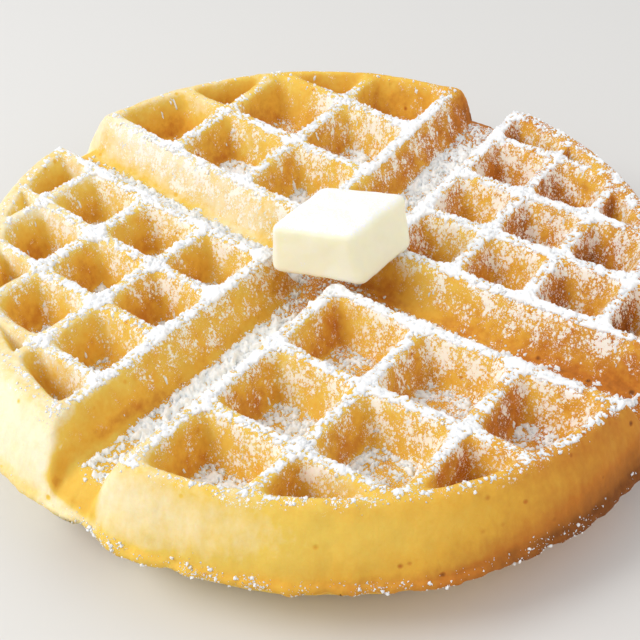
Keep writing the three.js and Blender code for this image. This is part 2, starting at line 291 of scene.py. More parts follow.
class SugarSettings(bpy.types.PropertyGroup):
    """Amount and fineness of the icing sugar"""

    amount: bpy.props.FloatProperty(
        name="Amount", default=1.0, min=0, max=2, subtype="FACTOR",
        description="How much sugar has been sifted on")
    drift_height: bpy.props.FloatProperty(
        name="Drift height", default=0.00042, unit="LENGTH",
        description="Height of the thickest sugar on ribs and floors")
    clumps: bpy.props.IntProperty(
        name="Clumps", default=2400, min=0, description="About how many clumps")
    grains: bpy.props.IntProperty(
        name="Grains", default=8600, min=0, description="About how many grains")
    specks: bpy.props.IntProperty(
        name="Specks", default=22000, min=0, description="About how many fine specks")
    white: bpy.props.FloatVectorProperty(
        name="White", **COLOUR, default=(0.955, 0.965, 0.98),
        description="Colour of the sugar")
    # Painted tint: cooler white for the sugar in the hollows, to offset the warm light bounced
    # there
    hollow_shade_tint: bpy.props.FloatVectorProperty(
        name="White in hollows", **COLOUR, default=(0.90, 0.955, 0.985),
        description="Colour of the sugar down in the pockets and grooves")
    # Partly thin sugar on moist crust, partly painted warm light for the shade on steep faces
    thin: bpy.props.FloatVectorProperty(
        name="Thin sugar", **COLOUR, default=(0.965, 0.955, 0.90),
        description="Colour of the thin sugar that clings to steep faces")
    seed: bpy.props.IntProperty(
        name="Seed", default=21, min=0, description="Seed of the sugar's scatter")


class ButterSizes(bpy.types.PropertyGroup):
    """Form and colour of the pat of butter"""

    edge: bpy.props.FloatProperty(
        name="Edge rounding", default=0.0021, unit="LENGTH",
        description="Rounding of the butter's softened edges")
    unevenness: bpy.props.FloatProperty(
        name="Unevenness", default=0.00028, unit="LENGTH",
        description="Height of the soft bumps on its faces")
    colour: bpy.props.FloatVectorProperty(
        name="Colour", **COLOUR, default=(0.97, 0.95, 0.72),
        description="Colour of the butter")
    seed: bpy.props.IntProperty(
        name="Seed", default=5, min=0, description="Seed of the butter's unevenness")


class StudioSettings(bpy.types.PropertyGroup):
    """Camera and light"""

    azimuth: bpy.props.FloatProperty(
        name="Azimuth", default=math.radians(34.763), subtype="ANGLE",
        description="Direction of the camera round the waffle")
    elevation: bpy.props.FloatProperty(
        name="Elevation", default=math.radians(41.551), subtype="ANGLE",
        description="Height of the camera above the horizon")
    roll: bpy.props.FloatProperty(
        name="Roll", default=math.radians(0.891), subtype="ANGLE",
        description="Lean of the camera")
    distance: bpy.props.FloatProperty(
        name="Distance", default=0.25692, unit="LENGTH",
        description="From the camera to the crossing of the grooves, along its view")
    aside: bpy.props.FloatVectorProperty(
        name="Aside", default=(0.001165, 0.0168), size=2, unit="LENGTH",
        description="How far the crossing lies right of and above the picture's middle")
    lens: bpy.props.FloatProperty(
        name="Lens", default=59.93, unit="CAMERA",
        description="Focal length on a 36 mm wide sensor")
    key_power: bpy.props.FloatProperty(
        name="Key light", default=3.75, unit="POWER", description="Power of the main light")
    fill_power: bpy.props.FloatProperty(
        name="Fill light", default=0.7, unit="POWER", description="Power of the fill light")
    sky: bpy.props.FloatProperty(
        name="Sky", default=0.78, min=0, description="Strength of the light from all round")
    floor_colour: bpy.props.FloatVectorProperty(
        name="Floor", **COLOUR, default=(0.70, 0.69, 0.67),
        description="Colour of the plain floor")


SETTINGS = {
    "waffle_sizes": WaffleSizes,
    "waffle_crust": CrustLooks,
    "waffle_sugar": SugarSettings,
    "waffle_butter": ButterSizes,
    "waffle_studio": StudioSettings,
}


# ---------------------------------------------------------------------- number tools


def lattice_noise(points, cell, seed):
    """Smooth noise from about -1 to 1, with bumps of about the cell's size."""
    random = np.random.default_rng(seed)
    slopes = random.normal(size=(NOISE_TABLE, 3))
    slopes /= np.linalg.norm(slopes, axis=1, keepdims=True)
    scaled = np.asarray(points, float) / cell + NOISE_SHIFT
    corner = np.floor(scaled).astype(np.int64)
    part = scaled - corner
    blend = part * part * part * (part * (part * 6 - 15) + 10)
    total = np.zeros(len(scaled))
    for offset in np.ndindex(2, 2, 2):
        x, y, z = ((corner + offset) * NOISE_PRIMES).T
        pick = (x ^ y ^ z) % NOISE_TABLE
        weight = np.prod(np.where(offset, blend, 1 - blend), axis=1)
        total += weight * np.einsum("ij,ij->i", slopes[pick], part - offset)
    return total * NOISE_GAIN


def plan_noise(x, y, cell, seed):
    """Noise over the plan alone."""
    points = np.stack([x, y, np.zeros_like(x)], axis=-1)
    return lattice_noise(points.reshape(-1, 3), cell, seed).reshape(np.shape(x))


def layered_noise(points, layers, seed):
    """Sum of noise layers, each with its bump size and height."""
    return sum(
        height * lattice_noise(points, cell, seed + i)
        for i, (cell, height) in enumerate(layers)
    )


def ramp(value, low, high):
    """0 below low, 1 above high and smooth between; low may be the larger."""
    share = np.clip((value - low) / (high - low), 0, 1)
    return share * share * (3 - 2 * share)


def soft_least(values, rounding):
    """The least of several values, rounded where two are alike."""
    stack = np.stack(np.broadcast_arrays(*values))
    least = stack.min(axis=0)
    return least - rounding * np.log(np.exp(-(stack - least) / rounding).sum(axis=0))


def soft_most(values, rounding):
    """The largest of several values, rounded where two are alike."""
    return -soft_least([-np.asarray(value) for value in values], rounding)


def from_groove(x, y):
    """Distance to the nearer groove's middle line."""
    return np.minimum(np.abs(x), np.abs(y))


def by_quarter(x, y, name):
    """A quarter's own value at each point of the plan."""
    value = np.zeros_like(x)
    for quarter in QUARTERS:
        value[(x * quarter["x"] >= 0) & (y * quarter["y"] >= 0)] = quarter[name]
    return value


# ---------------------------------------------------------------- shape of the waffle


class WaffleShape:
    """Heights over the plan, in millimetres, for one set of sizes."""

    def __init__(self, sizes):
        self.centre = sizes.centre_height / MM
        self.dish = sizes.dish / MM / DISH_RADIUS**2
        self.first_rib = sizes.first_rib / MM
        self.pocket_depth = sizes.pocket_depth / MM
        self.groove_depth = sizes.groove_depth / MM
        self.raggedness = sizes.lip_raggedness / MM
        self.seed = sizes.seed
        self.pitches = {True: sizes.large_pitch / MM, False: sizes.small_pitch / MM}
        self.rims = {True: sizes.large_rim / MM, False: sizes.small_rim / MM}
        self.cells = {top: list(self.make_cells(top)) for top in (True, False)}

    def make_cells(self, top):
        """Every pocket's cell in one face, with how wide and deep it can be."""
        random = np.random.default_rng(self.seed)
        for quarter in QUARTERS:
            pitch, rim = self.pitches[quarter["large"]], self.rims[quarter["large"]]
            rim -= 0 if top else UNDERSIDE_DRAFT
            count = math.ceil((rim - self.first_rib) / pitch)
            for i, j in np.ndindex(count, count):
                low = self.first_rib + pitch * np.array([i, j])
                cell = {"quarter": quarter, "low": low, "high": low + pitch, "rim": rim}
                cell["uneven"] = 1 + CELL_UNEVENNESS * random.uniform(-1, 1)
                line = (np.arange(WIDEST_STEPS) + 0.5) / WIDEST_STEPS * pitch
                u, v = np.meshgrid(low[0] + line, low[1] + line)
                sharpest = self.wall_distance(cell, u, v, SHARP).max()
                if sharpest <= 0:
                    continue
                cell["rounding"] = min(WALL_ROUNDING, ROUNDING_SHARE * sharpest)
                widest = self.wall_distance(cell, u, v, cell["rounding"]).max()
                if widest < SMALLEST_POCKET:
                    continue
                cell["squeeze"] = min(1, widest / FULL_WIDTH)
                cell["share"] = min(1, (widest / FULL_DEPTH_REACH) ** DEPTH_EXPONENT)
                yield cell

    @staticmethod
    def wall_distance(cell, u, v, rounding):
        """Distance to a cell's nearest wall, rounded in its corners."""
        (u0, v0), (u1, v1) = cell["low"], cell["high"]
        return soft_least([u - u0, u1 - u, v - v0, v1 - v, cell["rim"] - np.hypot(u, v)], rounding)

    @staticmethod
    def wall_depth(distance, wall, depth):
        """Depth at a distance in from a rib's middle line: rounded rib, wall, rounded floor."""
        slope, start = wall
        lean = RIB_SOFTNESS * np.logaddexp(0, slope * (distance - start) / RIB_SOFTNESS)
        return np.maximum(soft_least([lean, np.full_like(lean, depth)], FLOOR_SOFTNESS), 0)

    def wander(self, x, y):
        """The plan, slightly warped, so that no rib is quite straight."""
        size, reach = PLAN_WANDER
        return (x + reach * plan_noise(x, y, size, self.seed + WANDER_SEED),
                y + reach * plan_noise(x, y, size, self.seed + WANDER_SEED + 1))

    def groove(self, x, y):
        """Depth pressed by the two crossing grooves."""
        inside = [self.first_rib - np.abs(x), self.first_rib - np.abs(y)]
        slope, start = GROOVE_WALL
        slope = slope * (1 + by_quarter(x, y, "steeper")
                         * ramp(np.hypot(x, y), STEEPER_FROM, STEEPER_TO))
        depth = self.wall_depth(soft_most(inside, WALL_ROUNDING), (slope, start), self.groove_depth)
        roll = np.interp(np.hypot(x, y), WEB_ALONG, WEB_DROP)
        return depth + roll * (depth / self.groove_depth) ** 2

    def pockets(self, x, y, top):
        """Depth pressed by the pockets."""
        depth = np.zeros_like(x)
        for cell in self.cells[top]:
            u, v = x * cell["quarter"]["x"], y * cell["quarter"]["y"]
            (u0, v0), (u1, v1) = cell["low"], cell["high"]
            inside = (u > u0) & (u < u1) & (v > v0) & (v < v1)
            distance = self.wall_distance(cell, u[inside], v[inside], cell["rounding"])
            own = self.wall_depth(distance / cell["squeeze"], POCKET_WALL, self.pocket_depth)
            depth[inside] = own * cell["share"] * cell["uneven"]
        return depth

    def depth(self, x, y, top=True):
        """Depth below the ribs anywhere on the plan."""
        x, y = self.wander(x, y)
        return np.maximum(self.groove(x, y), self.pockets(x, y, top))

    def corner_rounding(self, x, y):
        """Rounding where the side meets the top, larger at the quarters' outer corners."""
        near = ramp(from_groove(x, y), CORNER_FAR, CORNER_NEAR)
        return RIM_ROUNDING + (by_quarter(x, y, "corner") - RIM_ROUNDING) * near

    def lip(self, angle):
        """Radius of the ragged lip in each direction."""
        x, y = LIP_WAVE_RADIUS * np.cos(angle), LIP_WAVE_RADIUS * np.sin(angle)
        radius = np.interp(np.degrees(angle), *zip(*LIP_REACH)) - LIP_INSET
        for i, (size, share) in enumerate(LIP_WAVES):
            wave = plan_noise(x, y, size, self.seed + LIP_WAVE_SEED + i)
            radius += share * self.raggedness * wave
        return radius

    @staticmethod
    def side_height(share, top):
        """How far the outer side is from the lip's height, by share of the lip's radius."""
        return np.interp(share * NOMINAL_RADIUS, *zip(*(TOP_SIDE if top else UNDER_SIDE)))

    def half_height(self, x, y, share, top):
        """Height above the parting line, or depth below it, of one face."""
        face = self.centre + self.dish * (x * x + y * y) - PARTING if top else PARTING
        rounding = self.corner_rounding(x, y) * ramp(share, 1, ROUNDED_UP_TO) + LEAST_ROUNDING
        pressed = face - self.depth(x, y, top)
        return np.maximum(soft_least([pressed, self.side_height(share, top)], rounding), 0)


def disc_grid(count):
    """A square grid of points spread evenly over a disc of radius 1."""
    line = np.linspace(-1, 1, count + 1)
    a, b = np.meshgrid(line, line, indexing="ij")
    steep = np.abs(a) < np.abs(b)
    radius = np.where(steep, b, a)
    ratio = np.divide(np.where(steep, a, b), radius, out=np.zeros_like(a), where=radius != 0)
    angle = ratio * math.pi / 4
    x = radius * np.where(steep, np.sin(angle), np.cos(angle))
    y = radius * np.where(steep, np.cos(angle), np.sin(angle))
    return x, y


def grid_border(count):
    """Indices of a grid's border points, in order round it."""
    side = np.arange(count)
    rows = np.concatenate([side, np.full(count, count), count - side, np.zeros(count, int)])
    columns = np.concatenate([np.zeros(count, int), side, np.full(count, count), count - side])
    return rows * (count + 1) + columns


def grid_triangles(count):
    """Two triangles for each cell of a grid, with the diagonals turned in turn."""
    i, j = (index.ravel() for index in np.meshgrid(range(count), range(count), indexing="ij"))
    a = i * (count + 1) + j
    b, c, d = a + count + 1, a + count + 2, a + 1
    turned = (i + j) % 2 == 0
    first = np.where(turned[:, None], np.stack([a, b, c], 1), np.stack([a, b, d], 1))
    second = np.where(turned[:, None], np.stack([a, c, d], 1), np.stack([b, c, d], 1))
    return np.concatenate([first, second])


def face_points(shape, count, top):
    """Points of the upper or lower face, out to the lip."""
    unit_x, unit_y = disc_grid(count)
    share = np.clip(np.hypot(unit_x, unit_y), 0, 1)
    lip = shape.lip(np.arctan2(unit_y, unit_x))
    reach = NOMINAL_RADIUS * (1 - (1 - lip / NOMINAL_RADIUS) * share**LIP_TAPER)
    x, y = unit_x * reach, unit_y * reach
    half = shape.half_height(x, y, share, top)
    z = PARTING + (half if top else -half)
    return np.stack([x, y, z], axis=-1).reshape(-1, 3)


def mesh_from(name, points, triangles):
    """A Blender mesh in metres from points in millimetres."""
    mesh = bpy.data.meshes.new(name)
    triangles = np.asarray(triangles, np.int32)
    mesh.vertices.add(len(points))
    mesh.vertices.foreach_set("co", (np.asarray(points) * MM).astype(np.float32).ravel())
    mesh.loops.add(triangles.size)
    mesh.loops.foreach_set("vertex_index", triangles.ravel())
    mesh.polygons.add(len(triangles))
    mesh.polygons.foreach_set("loop_start", np.arange(0, triangles.size, 3, dtype=np.int32))
    mesh.update(calc_edges=True)
    mesh.validate()
    mesh.shade_smooth()
    return mesh


def read_points(mesh):
    """A mesh's points in millimetres."""
    points = np.empty(len(mesh.vertices) * 3, np.float32)
    mesh.vertices.foreach_get("co", points)
    return points.reshape(-1, 3).astype(float) / MM


def read_normals(mesh):
    """A mesh's normals at its points."""
    normals = np.empty(len(mesh.vertices) * 3, np.float32)
    mesh.vertex_normals.foreach_get("vector", normals)
    return normals.reshape(-1, 3).astype(float)


def write_attribute(mesh, name, values):
    """A number at each point, for a material or for scattering to read."""
    layer = mesh.attributes.new(name, "FLOAT", "POINT")
    layer.data.foreach_set("value", np.asarray(values, np.float32))


def thinned(mesh, limit):
    """The mesh with its flatter parts merged until it has at most so many triangles."""
    count = len(mesh.polygons)
    if count <= limit:
        return mesh
    carrier = bpy.data.objects.new("thinning", mesh)
    bpy.context.collection.objects.link(carrier)
    modifier = carrier.modifiers.new("thin", "DECIMATE")
    modifier.ratio = THINNING_MARGIN * limit / count
    evaluated = carrier.evaluated_get(bpy.context.evaluated_depsgraph_get())
    result = bpy.data.meshes.new_from_object(evaluated)
    bpy.data.objects.remove(carrier)
    bpy.data.meshes.remove(mesh)
    result.shade_smooth()
    return result


@functools.cache
def fine_crust(count, top_only):
    """The crust at full fineness: points, normals and triangles."""
    shape = WaffleShape(bpy.context.scene.waffle_sizes)
    points = face_points(shape, count, True)
    triangles = grid_triangles(count)
    if not top_only:
        coarse = count // 2
        below = face_points(shape, coarse, False)
        index = np.arange(len(below)) + len(points)
        index[grid_border(coarse)] = grid_border(count)[::2]
        lower = index[grid_triangles(coarse)][:, ::-1]
        border = grid_border(count)
        slivers = np.stack([border[::2], np.roll(border, -2)[::2], border[1::2]], 1)
        points = np.concatenate([points, below])
        triangles = np.concatenate([triangles, lower, slivers[:, ::-1]])
    mesh = mesh_from("fine", points, triangles)
    normals = read_normals(mesh)
    bpy.data.meshes.remove(mesh)
    lip = lip_share(points)
    crags = layered_noise(points, CRAG_LAYERS, shape.seed + CRAG_SEED)
    crags += lip * layered_noise(points, LIP_LAYERS, shape.seed + LIP_CRAG_SEED)
    points = points + normals * crags[:, None]
    points[:, 2] = np.maximum(points[:, 2], LOWEST)
    return points, normals, triangles


# ------------------------------------------------------------------- nodes and groups


def node_group(name, kind, inputs, outputs):
    """A node group with named sockets, given as name, kind and value."""
    tree = bpy.data.node_groups.new(name, kind)
    for direction, sockets in (("INPUT", inputs), ("OUTPUT", outputs)):
        for label, socket_kind, *value in sockets:
            socket = tree.interface.new_socket(
                name=label, in_out=direction, socket_type="NodeSocket" + socket_kind)
            if value:
                socket.default_value = value[0]
    return tree


class NodeSheet:
    """Adds nodes to a tree from left to right and links them."""

    def __init__(self, tree):
        self.tree = tree
        self.column = 0

    def fill(self, node, values):
        """Sets a node's inputs to numbers, or links them to other nodes' outputs."""
        for name, value in values.items():
            if isinstance(value, bpy.types.NodeSocket):
                self.tree.links.new(value, node.inputs[name])
            else:
                node.inputs[name].default_value = value

    def add(self, kind, values=None, **fields):
        """A node with its fields set and its inputs filled."""
        node = self.tree.nodes.new(kind)
        node.location = (180 * self.column, -40 * (self.column % 5))
        self.column += 1
        for field, value in fields.items():
            setattr(node, field, value)
        self.fill(node, values or {})
        return node

    def group_inputs(self):
        """The outputs of a group's own input node."""
        return self.add("NodeGroupInput").outputs

    def place(self):
        """The point's place on the object."""
        return self.add("ShaderNodeTexCoord").outputs["Object"]

    def attribute(self, name):
        """A number that the mesh holds at each point."""
        return self.add("ShaderNodeAttribute", attribute_name=name).outputs["Fac"]

    def math(self, operation, *values, clamp=False):
        """One step of arithmetic."""
        node = self.add("ShaderNodeMath", dict(enumerate(values)), operation=operation,
                        use_clamp=clamp)
        return node.outputs[0]

    def vector_math(self, operation, first, second):
        """One step of arithmetic on vectors; a scaling takes a number second."""
        slot = "Scale" if operation == "SCALE" else 1
        node = self.add("ShaderNodeVectorMath", {0: first, slot: second}, operation=operation)
        return node.outputs[0]

    def mix(self, share, first, second):
        """A blend of two colours."""
        node = self.add("ShaderNodeMix", {0: share, 6: first, 7: second}, data_type="RGBA")
        return node.outputs[2]

    def map_range(self, value, low, high, to_low=0.0, to_high=1.0):
        """A value stretched from one range to another, held at its ends."""
        node = self.add("ShaderNodeMapRange",
                        {0: value, 1: low, 2: high, 3: to_low, 4: to_high}, clamp=True)
        return node.outputs[0]

    def noise(self, vector, scale, detail=3.0, roughness=0.55):
        """Noise at so many bumps a metre."""
        values = {"Vector": vector, "Scale": scale, "Detail": detail, "Roughness": roughness}
        return self.add("ShaderNodeTexNoise", values).outputs["Fac"]

    def variation(self, noise, reach):
        """Noise as a value from minus its reach to its reach."""
        return self.map_range(noise, 0.3, 0.7, -reach, reach)

    def bump(self, height, strength, distance):
        """The normal of a surface with a relief."""
        values = {"Height": height, "Strength": strength, "Distance": distance}
        return self.add("ShaderNodeBump", values).outputs[0]


@functools.cache
def sifted_group():
    """Sugar sifted from above: a mask of flecks of two sizes, drawn out down steep faces."""
    tree = node_group("Sifted sugar", "ShaderNodeTree",
                      [("Cover", "Float", 0.5), ("Fleck Size", "Float", 0.001),
                       ("Patchiness", "Float", 0.9)],
                      [("Mask", "Float")])
    sheet = NodeSheet(tree)
    inputs, place = sheet.group_inputs(), sheet.place()
    scale = sheet.math("DIVIDE", 1.0, inputs["Fleck Size"])
    rough = sheet.add("ShaderNodeTexNoise", {
        "Vector": place, "Scale": sheet.math("MULTIPLY", scale, 2.2), "Detail": 2.0})
    shift = sheet.vector_math("SUBTRACT", rough.outputs["Color"], (0.5, 0.5, 0.5))
    shift = sheet.vector_math("SCALE", shift, inputs["Fleck Size"])
    moved = sheet.vector_math("ADD", place, shift)
    drawn = sheet.vector_math("MULTIPLY", moved, (1, 1, 0.62))
    patch = sheet.noise(drawn, sheet.math("MULTIPLY", scale, 0.24), 2.0, 0.5)
    patch = sheet.math("MULTIPLY", sheet.math("SUBTRACT", patch, 0.5), inputs["Patchiness"])
    amount = sheet.math("ADD", inputs["Cover"], sheet.math("MULTIPLY", patch, 1.6))
    masks = []
    for fineness in (1.0, 2.3):
        cells = sheet.add("ShaderNodeTexVoronoi", {
            "Vector": drawn, "Scale": sheet.math("MULTIPLY", scale, fineness)})
        reach = sheet.map_range(cells.outputs["Color"], 0.0, 1.0, 0.38, 0.84)
        reach = sheet.math("MULTIPLY", reach, amount)
        inner = sheet.math("SUBTRACT", reach, 0.09)
        masks.append(sheet.map_range(cells.outputs["Distance"], inner, reach, 1.0, 0.0))
    held = sheet.map_range(inputs["Cover"], 0.02, 0.22)
    mask = sheet.math("MULTIPLY", sheet.math("MAXIMUM", *masks), held)
    sheet.add("NodeGroupOutput", {"Mask": mask})
    return tree


@functools.cache
def mottle_group():
    """A colour made lighter and darker in soft patches."""
    tree = node_group("Mottle", "ShaderNodeTree",
                      [("Colour", "Color"), ("Patch Size", "Float", 0.004),
                       ("Amount", "Float", 0.2)],
                      [("Colour", "Color")])
    sheet = NodeSheet(tree)
    inputs, place = sheet.group_inputs(), sheet.place()
    scale = sheet.math("DIVIDE", 1.0, inputs["Patch Size"])
    patches = sheet.noise(place, scale, 4.0, 0.6)
    change = sheet.math("MULTIPLY", sheet.math("SUBTRACT", patches, 0.5), inputs["Amount"])
    value = sheet.math("ADD", 1.0, sheet.math("MULTIPLY", change, 2.0))
    toned = sheet.add("ShaderNodeHueSaturation", {"Color": inputs["Colour"], "Value": value})
    sheet.add("NodeGroupOutput", {"Colour": toned.outputs["Color"]})
    return tree


@functools.cache
def grain_group():
    """Fine relief: grains over softer lumps, with pits, as a height and as the pits' mask."""
    tree = node_group("Fine grain", "ShaderNodeTree",
                      [("Grain Size", "Float", 0.0006), ("Pits", "Float", 0.3)],
                      [("Height", "Float"), ("Pit", "Float")])
    sheet = NodeSheet(tree)
    inputs, place = sheet.group_inputs(), sheet.place()
    scale = sheet.math("DIVIDE", 1.0, inputs["Grain Size"])
    fine = sheet.noise(place, scale, 3.0, 0.65)
    lumps = sheet.noise(place, sheet.math("MULTIPLY", scale, 0.25), 2.0, 0.5)
    cells = sheet.add("ShaderNodeTexVoronoi", {
        "Vector": place, "Scale": sheet.math("MULTIPLY", scale, 0.16)})
    near = sheet.map_range(cells.outputs["Distance"], 0.05, 0.17, 1.0, 0.0)
    chosen = sheet.map_range(cells.outputs["Color"], 0.62, 0.66)
    pit = sheet.math("MULTIPLY", sheet.math("MULTIPLY", near, chosen), inputs["Pits"])
    fine, lumps = sheet.math("MULTIPLY", fine, 0.6), sheet.math("MULTIPLY", lumps, 0.8)
    height = sheet.math("SUBTRACT", sheet.math("ADD", fine, lumps), pit)
    sheet.add("NodeGroupOutput", {"Height": height, "Pit": pit})
    return tree


# ----------------------------------------------------------------------- materials


def new_material(name):
    """An empty material and its sheet, with a Principled BSDF linked to the output."""
    material = bpy.data.materials.new(name)
    material.use_nodes = True
    material.node_tree.nodes.clear()
    sheet = NodeSheet(material.node_tree)
    shader = sheet.add("ShaderNodeBsdfPrincipled")
    sheet.add("ShaderNodeOutputMaterial", {"Surface": shader.outputs[0]})
    return material, sheet, shader


def place_grain(sheet, grain_size, pits):
    """The fine relief's height and pits."""
    values = {"Grain Size": grain_size, "Pits": pits}
    node = sheet.add("ShaderNodeGroup", values, node_tree=grain_group())
    return node.outputs["Height"], node.outputs["Pit"]


def mottled(sheet, colour, patch_size, amount):
    """A colour with soft patches."""
    values = {"Colour": colour, "Patch Size": patch_size, "Amount": amount}
    return sheet.add("ShaderNodeGroup", values, node_tree=mottle_group()).outputs["Colour"]


def sifted(sheet, values):
    """The mask of sifted sugar."""
    return sheet.add("ShaderNodeGroup", values, node_tree=sifted_group()).outputs["Mask"]


def colour_stops(sheet, value, stops):
    """A ramp through colours at given places."""
    node = sheet.add("ShaderNodeValToRGB", {"Fac": value})
    elements = node.color_ramp.elements
    for i, (place, colour) in enumerate(stops):
        element = elements[i] if i < 2 else elements.new(place)
        element.position = place
        element.color = (*colour, 1)
    return node.outputs["Color"]


def crust_material():
    """Baked crust: cream to brown by the bake mask, which also holds painted light and shade, with
    pits, dust, and butter soak that also holds a painted shadow.
    """
    looks = bpy.context.scene.waffle_crust
    sugar = bpy.context.scene.waffle_sugar
    material, sheet, shader = new_material("Baked crust")
    place = sheet.place()
    bake, catch, soak, thick, patchy = (
        sheet.attribute(name) for name in ("bake", "catch", "soak", "thick", "patchy"))
    grain, pit = place_grain(sheet, 0.0007, 0.8)
    broad = sheet.variation(sheet.noise(place, 60, 4.0, 0.6), 0.10)
    middling = sheet.variation(sheet.noise(place, 210, 2.0, 0.5), 0.07)
    fine = sheet.variation(sheet.noise(place, 700, 3.0, 0.6), 0.06)
    drawn = sheet.vector_math("MULTIPLY", place, (1, 1, 0.16))
    streaks = sheet.noise(drawn, 780, 2.0, 0.5)
    patches = sheet.math("ADD", sheet.math("ADD", broad, middling), fine)
    # The level holds bake and painted light and shade.
    level = sheet.math("ADD", bake, sheet.math("MULTIPLY", patches, patchy))
    level = sheet.math("ADD", level, sheet.variation(streaks, 0.025))
    level = sheet.math("ADD", level, sheet.math("MULTIPLY", pit, 0.35))
    level = sheet.math("ADD", level, sheet.math("MULTIPLY", soak, 0.22), clamp=True)
    stops = [(0.0, looks.cream), (1.0, looks.dark), (0.28, looks.yellow),
             (0.52, looks.golden), (0.76, looks.brown)]
    colour = mottled(sheet, colour_stops(sheet, level, stops), 0.006, 0.10)
    dust = sifted(sheet, {"Cover": catch, "Fleck Size": 0.0008, "Patchiness": 1.3})
    shown = sheet.math("MULTIPLY", dust, sheet.math("SUBTRACT", thick, soak), clamp=True)
    # Flecks cream on steep faces and white on level ones: partly thin sugar, partly painted warm
    # light in the shade.
    dusting = sheet.mix(sheet.map_range(thick, 0.86, 0.94), (*sugar.thin, 1), (*sugar.white, 1))
    height = sheet.math("ADD", grain, sheet.math("MULTIPLY", shown, 0.5))
    height = sheet.math("ADD", height, sheet.math("MULTIPLY", streaks, 0.45))
    sheet.fill(shader, {
        "Base Color": sheet.mix(shown, colour, dusting),
        "Roughness": sheet.map_range(soak, 0.0, 1.0, 0.72, 0.28),
        "Normal": sheet.bump(height, 0.6, 0.00024),
        "Specular IOR Level": 0.18,
        "Subsurface Weight": 0.18,
        "Subsurface Radius": (1.0, 0.42, 0.12),
        "Subsurface Scale": 0.0025,
    })
    return material


@functools.cache
def sugar_material():
    """Icing sugar: soft bright white, with a painted cooler tint down in the hollows against the
    warm light bounced there.
    """
    sugar = bpy.context.scene.waffle_sugar
    material, sheet, shader = new_material("Icing sugar")
    grain, _ = place_grain(sheet, 0.00045, 0.15)
    # Painted cooler tint in the hollows, against the warm bounced light.
    white = sheet.mix(sheet.attribute("hollow"), (*sugar.white, 1), (*sugar.hollow_shade_tint, 1))
    sheet.fill(shader, {
        "Base Color": mottled(sheet, white, 0.003, 0.05),
        "Roughness": sheet.map_range(grain, 0.2, 1.0, 0.75, 0.95),
        "Normal": sheet.bump(grain, 0.5, 0.0002),
        "Subsurface Weight": 0.8,
        "Subsurface Radius": (1.0, 0.95, 0.9),
        "Subsurface Scale": 0.0009,
    })
    return material


def butter_material():
    """Butter: pale and waxy, with a thin sifting of sugar on its top and pale side, and a white
    film there that is partly sugar and partly painted highlight on the faces towards the key light.
    """
    butter = bpy.context.scene.waffle_butter
    sugar = bpy.context.scene.waffle_sugar
    material, sheet, shader = new_material("Butter")
    catch = sheet.attribute("catch")
    grain, _ = place_grain(sheet, 0.0011, 0.1)
    colour = mottled(sheet, (*butter.colour, 1), 0.006, 0.05)
    dust = sifted(sheet, {"Cover": catch, "Fleck Size": 0.0007})
    # Film: partly a sugar film, partly painted highlight on the top and the side towards the key
    # light.
    sugar_film_and_highlight = sheet.math("MULTIPLY", catch, 0.45)
    shown = sheet.math("MAXIMUM", sheet.math("MULTIPLY", dust, 0.9), sugar_film_and_highlight)
    height = sheet.math("ADD", grain, sheet.math("MULTIPLY", shown, 0.6))
    sheet.fill(shader, {
        "Base Color": sheet.mix(shown, colour, (*sugar.white, 1)),
        "Roughness": sheet.map_range(shown, 0.0, 1.0, 0.38, 0.8),
        "Normal": sheet.bump(height, 0.25, 0.0003),
        "Subsurface Weight": 0.6,
        "Subsurface Radius": (1.0, 0.85, 0.45),
        "Subsurface Scale": 0.004,
    })
    return material


def floor_material():
    """Plain pale floor."""
    studio = bpy.context.scene.waffle_studio
    material, sheet, shader = new_material("Pale floor")
    sheet.fill(shader, {"Base Color": (*studio.floor_colour, 1), "Roughness": 0.85})
    return material


# ------------------------------------------------------------------------ masks


def across_share(x, y):
    """About -1 at the least baked side to 1 at the most baked one."""
    return (ACROSS[0] * x + ACROSS[1] * y) / NOMINAL_RADIUS


def facing_pale_lit_side(normals):
    """1 on faces turned to the least baked side, where the key light comes from, -1 on those turned
    away from it.
    """
    return -(ACROSS[0] * normals[:, 0] + ACROSS[1] * normals[:, 1])


def to_back_left(x, y):
    """Distance from the middle towards the back left quarter's outer corner."""
    return 0.66 * y - 0.75 * x


def above_underside(points):
    """1 on the upper half down to just under the lip, 0 on the underside."""
    return ramp(points[:, 2], PARTING - 1.5, PARTING - 0.5)


def beyond_rim(x, y):
    """0 on the pattern, 1 outside it."""
    return ramp(np.hypot(x, y), 80.5, 82.5)


def pocket_share(points, shape):
    """0 on the ribs to about 1 on the floors of pockets and grooves."""
    return shape.depth(points[:, 0], points[:, 1]) / shape.pocket_depth


def hollow_level(points, shape):
    """0 on the ribs, 1 down in the pockets and grooves."""
    return ramp(pocket_share(points, shape), 0.3, 0.8)


def lip_share(points):
    """1 on the ragged lip, 0 above and below it."""
    radius = np.hypot(points[:, 0], points[:, 1])
    height = np.abs(points[:, 2] - PARTING)
    return ramp(radius, 86.5, 88.2) * ramp(height, 2.6, 1.0)


def outer_side(points):
    """1 on the waffle's outer side and lip, 0 on its top and in the grooves' ends."""
    x, y = points[:, 0], points[:, 1]
    radius = np.hypot(x, y)
    groove_end = ramp(from_groove(x, y), 8.5, 6.0)
    return np.maximum(ramp(radius, 79, 83) * (1 - groove_end), ramp(radius, 86.0, 87.5))


def steepness(normals):
    """1 on upright faces, 0 on level ones."""
    return 1 - ramp(np.abs(normals[:, 2]), 0.25, 0.8)


def bare_strip(x, y):
    """1 on the strips of the grooves' floors that the sugar missed, 0 elsewhere."""
    axes = {"x": x, "-x": -x, "y": y, "-y": -y}
    return sum(
        ramp(axes[across], start, start + 2) * ramp(axes[across], 5.2, 4.4)
        * ramp(axes[along], 9, 16) * ramp(axes[along], 84, 76)
        for across, along, start in BARE_STRIPS
    )


